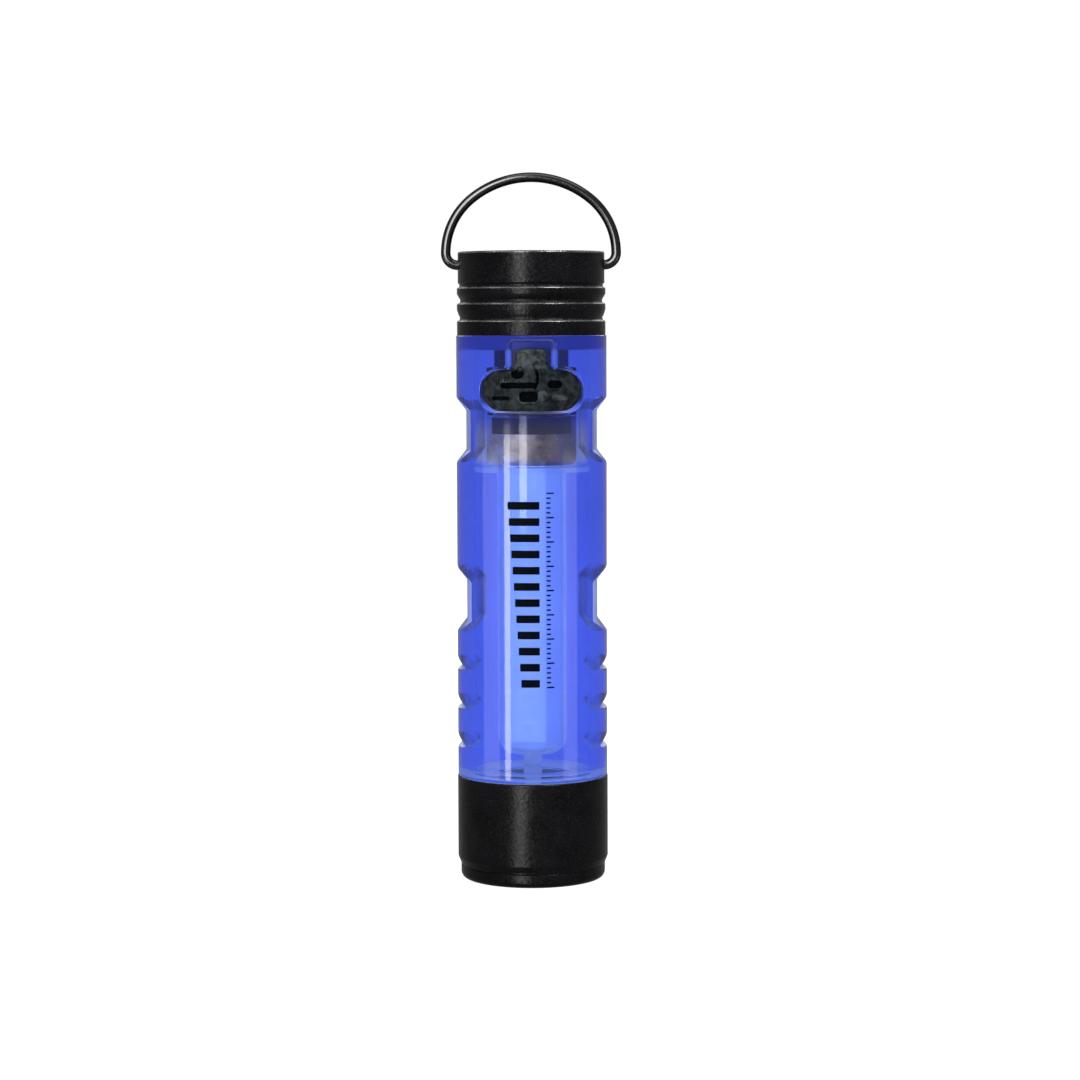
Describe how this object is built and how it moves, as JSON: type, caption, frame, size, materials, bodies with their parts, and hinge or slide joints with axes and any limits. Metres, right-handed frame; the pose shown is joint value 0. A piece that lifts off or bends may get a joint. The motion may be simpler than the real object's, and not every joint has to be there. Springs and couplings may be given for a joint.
{
  "type": "keychain flashlight",
  "caption": "Pocket flashlight with a clear blue finger-scalloped tube, black metal lamp head, finned tail cap, wire bail, tail button and a rubber charging-port cover.",
  "frame": {"origin": "centre of the lens end's bottom plane, on the tube's axis", "axes": "+Z along the tube from lens end to tail cap, -Y faces the port cover, X runs through the bail's two ends"},
  "size_m": [0.0184, 0.0154, 0.0726],
  "materials": {
    "bezel_ring": "black sand-blasted anodised",
    "front_lens": "clear",
    "lens_seal": "matte",
    "reflector": "mirror plated",
    "lamp_board": "white solder mask on metal core",
    "lamp_package": "white ceramic",
    "lamp_dome": "yellow phosphor under silicone",
    "lantern_led": "yellow phosphor",
    "lamp_head": "black sand-blasted anodised",
    "head_seal": "matte",
    "body_tube": "clear blue polycarbonate",
    "light_chamber": "clear polycarbonate",
    "lantern_strip": "pale lamp strip",
    "lamp_flex": "amber flexible circuit",
    "battery_cell": "nickel-plated steel can",
    "cell_gasket": "matte",
    "cell_insulator": "dark film",
    "plus_strip": "nickel",
    "minus_strip": "nickel",
    "main_board": "dark solder mask",
    "charger_chip": "black epoxy",
    "power_coil": "grey ferrite",
    "charge_led": "clear white",
    "port_shell": "plated steel",
    "port_tongue": "black",
    "tail_cap": "black anodised",
    "tail_seal": "matte",
    "switch_ring": "turned",
    "switch_board": "green solder mask",
    "switch_housing": "black",
    "switch_plunger": "white",
    "tail_button": "matte silicone",
    "bail_wire": "glossy black",
    "cover_tab": "matte silicone",
    "cover_flap": "matte silicone"
  },
  "bodies": {
    "body": {"bezel_ring": "bezel_ring", "front_lens": "front_lens", "lens_seal": "lens_seal", "reflector": "reflector", "lamp_board": "lamp_board", "lamp_package": "lamp_package", "lamp_dome": "lamp_dome", "lantern_led": "lantern_led", "lamp_head": "lamp_head", "head_seal": "head_seal", "body_tube": "body_tube", "light_chamber": "light_chamber", "lantern_strip": "lantern_strip", "lamp_flex": "lamp_flex", "battery_cell": "battery_cell", "cell_gasket": "cell_gasket", "cell_insulator": "cell_insulator", "plus_strip": "plus_strip", "minus_strip": "minus_strip", "main_board": "main_board", "charger_chip": "charger_chip", "power_coil": "power_coil", "charge_led": "charge_led", "port_shell": "port_shell", "port_tongue": "port_tongue", "tail_cap": "tail_cap", "tail_seal": "tail_seal", "switch_ring": "switch_ring", "switch_board": "switch_board", "switch_housing": "switch_housing", "cover_tab": "cover_tab"},
    "bail": {"bail_wire": "bail_wire"},
    "button": {"tail_button": "tail_button", "switch_plunger": "switch_plunger"},
    "cover": {"cover_flap": "cover_flap"}
  },
  "joints": [
    {"name": "bail_swing", "type": "hinge", "parent": "body", "child": "bail", "pos_m": [0, 0, 0.06315], "axis": [1, 0, 0], "range_deg": [-105, 105]},
    {"name": "button_press", "type": "slide", "parent": "body", "child": "button", "axis": [0, 0, -1], "range_m": [0, 0.0005], "stiffness_N_per_m": 2000},
    {"name": "cover_open", "type": "hinge", "parent": "body", "child": "cover", "pos_m": [0, -0.0077, 0.05328], "axis": [-1, 0, 0], "range_deg": [0, 100], "stiffness_Nm_per_rad": 0.0005}
  ]
}
